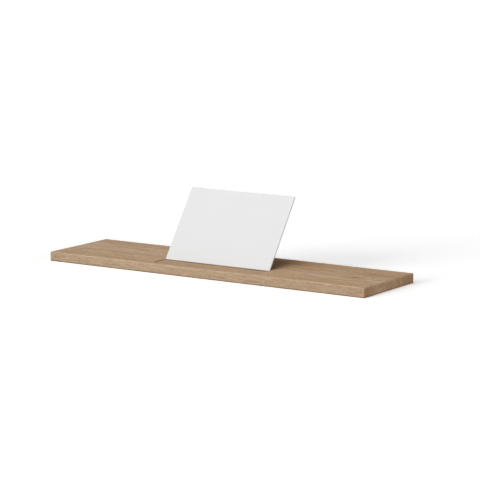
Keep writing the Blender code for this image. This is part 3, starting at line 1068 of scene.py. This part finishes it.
def grip_tree(material):
    """The node tree that makes one ribbed strip and sets it at the four places."""
    tree = bpy.data.node_groups.new("grip_strips", "GeometryNodeTree")
    tree.interface.new_socket("Geometry", in_out="OUTPUT", socket_type="NodeSocketGeometry")
    sizes = ("Length", "Width", "Thickness", "Rib Radius", "Rib Pitch", "Spread X", "Spread Y")
    for name in sizes:
        socket = tree.interface.new_socket(name, in_out="INPUT", socket_type="NodeSocketFloat")
        socket.subtype = "DISTANCE"
    tree.interface.new_socket("Rib Sides", in_out="INPUT", socket_type="NodeSocketInt")
    nodes = Nodes(tree)
    given = nodes.add("NodeGroupInput").outputs

    # The strip's body, a prism with round ends, which starts half a rib above the rest plane
    radius = nodes.math("MULTIPLY", given["Width"], ROUND_END_SHARE)
    box = nodes.add(
        "GeometryNodeCurvePrimitiveQuadrilateral",
        {"Width": given["Length"], "Height": given["Width"]},
        mode="RECTANGLE",
    )
    stadium = nodes.add(
        "GeometryNodeFilletCurve",
        {"Curve": box.outputs[0], "Radius": radius, "Count": ARC_STEPS},
        mode="POLY",
    )
    base = nodes.add("GeometryNodeFillCurve", {"Curve": stadium.outputs[0]}, mode="NGONS")
    rise = nodes.math("SUBTRACT", given["Thickness"], given["Rib Radius"])
    walls = nodes.add(
        "GeometryNodeExtrudeMesh",
        {"Mesh": base.outputs[0], "Offset Scale": rise, "Individual": False},
        mode="FACES",
    )
    underside = nodes.add("GeometryNodeFlipFaces", {"Mesh": base.outputs[0]})
    shell = nodes.add("GeometryNodeJoinGeometry")
    for part in (walls, underside):
        tree.links.new(part.outputs[0], shell.inputs[0])
    body = nodes.add("GeometryNodeMergeByDistance", {"Geometry": shell.outputs[0], "Distance": SAME_POINT})
    lift = nodes.combined(0.0, 0.0, given["Rib Radius"])
    body = nodes.add("GeometryNodeTransform", {"Geometry": body.outputs[0], "Translation": lift})

    # Round cross ribs along the straight part, which touch the rest plane
    straight = nodes.math("SUBTRACT", given["Length"], given["Width"])
    gaps = nodes.math("FLOOR", nodes.math("DIVIDE", straight, given["Rib Pitch"]))
    start_x = nodes.math("MULTIPLY", nodes.math("MULTIPLY", gaps, given["Rib Pitch"]), -0.5)
    start = nodes.combined(start_x, 0.0, given["Rib Radius"])
    step = nodes.combined(given["Rib Pitch"])
    line = nodes.add(
        "GeometryNodeMeshLine",
        {"Count": nodes.math("ADD", gaps, 1.0), "Start Location": start, "Offset": step},
        mode="OFFSET",
    )
    rib_length = nodes.math("MULTIPLY", given["Width"], RIB_SHARE)
    rib = nodes.add(
        "GeometryNodeMeshCylinder",
        {"Vertices": given["Rib Sides"], "Radius": given["Rib Radius"], "Depth": rib_length},
    )
    rib = nodes.add("GeometryNodeTransform", {"Geometry": rib.outputs[0], "Rotation": (pi / 2, pi / 2, 0.0)})
    ribs = nodes.add("GeometryNodeInstanceOnPoints", {"Points": line.outputs[0], "Instance": rib.outputs[0]})
    ribs = nodes.add("GeometryNodeRealizeInstances", {"Geometry": ribs.outputs[0]})
    strip = nodes.add("GeometryNodeMeshBoolean", operation="UNION", solver="EXACT")
    for part in (body, ribs):
        tree.links.new(part.outputs[0], strip.inputs["Mesh 2"])

    # One strip at each corner of the plank
    grid = nodes.add(
        "GeometryNodeMeshGrid",
        {"Size X": given["Spread X"], "Size Y": given["Spread Y"], "Vertices X": 2, "Vertices Y": 2},
    )
    strips = nodes.add(
        "GeometryNodeInstanceOnPoints",
        {"Points": grid.outputs[0], "Instance": strip.outputs[0]},
    )
    strips = nodes.add("GeometryNodeRealizeInstances", {"Geometry": strips.outputs[0]})
    strips = nodes.add("GeometryNodeSetMaterial", {"Geometry": strips.outputs[0], "Material": material})
    result = nodes.add("NodeGroupOutput")
    tree.links.new(strips.outputs[0], result.inputs[0])
    return tree


def add_grip_strips(settings):
    """The four grip strips as one piece."""
    places = strip_places()
    sizes = {
        "Length": STRIP_LENGTH,
        "Width": STRIP_WIDTH,
        "Thickness": STRIP_THICKNESS,
        "Rib Radius": settings.rib_radius,
        "Rib Pitch": settings.rib_pitch,
        "Rib Sides": settings.rib_sides,
        "Spread X": places[-1][0] - places[0][0],
        "Spread Y": places[-1][1] - places[0][1],
    }
    tree = grip_tree(rubber_finish(settings))
    source = bpy.data.objects.new("grip_source", bpy.data.meshes.new("grip_source"))
    modifier = source.modifiers.new("grip_strips", "NODES")
    modifier.node_group = tree
    for item in tree.interface.items_tree:
        if item.in_out == "INPUT":
            modifier[item.identifier] = sizes[item.name]
    bpy.context.scene.collection.objects.link(source)
    mesh = evaluated_mesh(source)
    discard([source])
    mesh.name = "grip_strips"
    strips = bpy.data.objects.new("grip_strips", mesh)
    bpy.context.scene.collection.objects.link(strips)
    mesh.shade_smooth()
    mesh.set_sharp_from_angle(angle=SMOOTH_ANGLE)
    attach(strips, "plank")
    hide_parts(*STRIPS)


# Stage: the camera as fitted to the photograph, the floor's width, and how far off the lamps are drawn
CAMERA_PLACE = (2.57978, -3.88628, 0.84276)
CAMERA_TILT = radians(80.5581)
CAMERA_TURN = radians(33.2439)
CAMERA_LENS = 169.470
FLOOR_SIZE = 80.0
LAMP_DISTANCE = 3.0

# Directions to the lamps, as degrees to the right of straight in front and above the floor, and their width
LAMPS = {
    "overhead": (5.0, 80.0, 26.0),
    "high": (10.0, 62.0, 40.0),
    "left": (-60.0, 50.0, 50.0),
    "front": (-24.7, 16.8, 32.0),
    "right": (110.0, 9.0, 40.0),
}


def shown_directly(nodes):
    """1 for rays from the camera, of reflections and through glass, 0 for light that falls on the shelf."""
    path = nodes.add("ShaderNodeLightPath").outputs
    seen = nodes.math("ADD", path["Is Camera Ray"], path["Is Glossy Ray"])
    return nodes.math("ADD", seen, path["Is Transmission Ray"], clamp=True)


def add_floor(settings):
    """A wide pale floor that looks white and keeps the shelf's shadow."""
    half = FLOOR_SIZE / 2
    shape = bmesh.new()
    corners = ((-half, -half), (half, -half), (half, half), (-half, half))
    shape.faces.new([shape.verts.new((x, y, 0.0)) for x, y in corners])
    floor = as_object("floor", shape)
    material, nodes, shader = new_material("pale_floor")
    gain = settings.floor_gain
    colour = nodes.mix(shown_directly(nodes), settings.floor_colour, (gain, gain, gain))
    matt = nodes.add("ShaderNodeBsdfDiffuse", {"Color": colour})
    nodes.feed(material.node_tree.nodes["Material Output"].inputs["Surface"], matt.outputs[0])
    material.node_tree.nodes.remove(shader)
    floor.data.materials.append(material)


def add_world(settings):
    """Even light from all round, which looks white where it shows."""
    world = bpy.data.worlds.new("studio")
    bpy.context.scene.world = world
    world.use_nodes = True
    nodes = Nodes(world.node_tree)
    background = world.node_tree.nodes["Background"]
    background.inputs["Color"].default_value = (1.0, 1.0, 1.0, 1.0)
    strength = nodes.remap(shown_directly(nodes), 0.0, 1.0, settings.room_strength, 1.0)
    nodes.feed(background.inputs["Strength"], strength)


def add_lamp(name, lamp, strength):
    """A distant soft lamp, which lights the whole floor alike."""
    right, up, width = (radians(angle) for angle in lamp)
    towards = Vector((sin(right) * cos(up), -cos(right) * cos(up), sin(up)))
    light = bpy.data.lights.new(name, "SUN")
    light.energy = strength
    light.angle = width
    obj = bpy.data.objects.new(name, light)
    obj.location = towards * LAMP_DISTANCE
    obj.rotation_euler = towards.to_track_quat("Z", "Y").to_euler()
    bpy.context.scene.collection.objects.link(obj)


def add_camera():
    """The camera at the photograph's angle."""
    lens = bpy.data.cameras.new("camera")
    lens.lens = CAMERA_LENS
    lens.clip_end = FLOOR_SIZE * 2
    camera = bpy.data.objects.new("camera", lens)
    camera.location = CAMERA_PLACE
    camera.rotation_euler = (CAMERA_TILT, 0.0, CAMERA_TURN)
    bpy.context.scene.collection.objects.link(camera)
    bpy.context.scene.camera = camera


# Operators
class SHELF_OT_oak_staves(Operator):
    """Make the four oak staves with the ledge, the groove and the pockets milled into them"""

    bl_idname = "shelf.oak_staves"
    bl_label = "Oak staves"

    def execute(self, context):
        settings = context.scene.bathtub_shelf.plank
        cutters = milling_cutters()
        seams = [(STAVE_BOXES[i][1].y + STAVE_BOXES[i + 1][0].y) / 2 for i in range(len(STAVES) - 1)]
        levels = [PLANK_LOW.y, *seams, PLANK_HIGH.y]
        for index in range(len(STAVES)):
            add_stave(index, levels[index], levels[index + 1], cutters, settings)
        discard(cutters)
        return {"FINISHED"}


class SHELF_OT_book_rest(Operator):
    """Make the white plate that a book leans on"""

    bl_idname = "shelf.book_rest"
    bl_label = "Book rest"

    def execute(self, context):
        add_plate(context.scene.bathtub_shelf.plate)
        return {"FINISHED"}


class SHELF_OT_grip_strips(Operator):
    """Make the four grip strips of the underside"""

    bl_idname = "shelf.grip_strips"
    bl_label = "Grip strips"

    def execute(self, context):
        add_grip_strips(context.scene.bathtub_shelf.grip)
        return {"FINISHED"}


class SHELF_OT_stage(Operator):
    """Make the floor, the light and the camera"""

    bl_idname = "shelf.stage"
    bl_label = "Stage"

    def execute(self, context):
        settings = context.scene.bathtub_shelf.stage
        add_floor(settings)
        add_world(settings)
        for name, lamp in LAMPS.items():
            add_lamp(f"{name}_lamp", lamp, getattr(settings, f"{name}_strength"))
        add_camera()
        context.scene.view_settings.view_transform = "Standard"
        return {"FINISHED"}


class SHELF_PT_sidebar(Panel):
    """Lists the shelf's settings and what makes each piece"""

    bl_idname = "SHELF_PT_sidebar"
    bl_label = "Bathtub shelf"
    bl_space_type = "VIEW_3D"
    bl_region_type = "UI"
    bl_category = "Shelf"

    def draw(self, context):
        settings = context.scene.bathtub_shelf
        for group, operator in (
            (settings.plank, SHELF_OT_oak_staves),
            (settings.plate, SHELF_OT_book_rest),
            (settings.grip, SHELF_OT_grip_strips),
            (settings.stage, SHELF_OT_stage),
        ):
            box = self.layout.box()
            for name in group.__annotations__:
                box.prop(group, name)
            box.operator(operator.bl_idname)


CLASSES = (
    PlankSettings,
    PlateSettings,
    GripSettings,
    StageSettings,
    ShelfSettings,
    SHELF_OT_oak_staves,
    SHELF_OT_book_rest,
    SHELF_OT_grip_strips,
    SHELF_OT_stage,
    SHELF_PT_sidebar,
)


def register():
    for item in CLASSES:
        bpy.utils.register_class(item)
    bpy.types.Scene.bathtub_shelf = PointerProperty(type=ShelfSettings)


def unregister():
    del bpy.types.Scene.bathtub_shelf
    for item in reversed(CLASSES):
        bpy.utils.unregister_class(item)


def main():
    register()
    bpy.ops.shelf.oak_staves()
    bpy.ops.shelf.book_rest()
    bpy.ops.shelf.grip_strips()
    bpy.ops.shelf.stage()


if __name__ == "__main__":
    main()
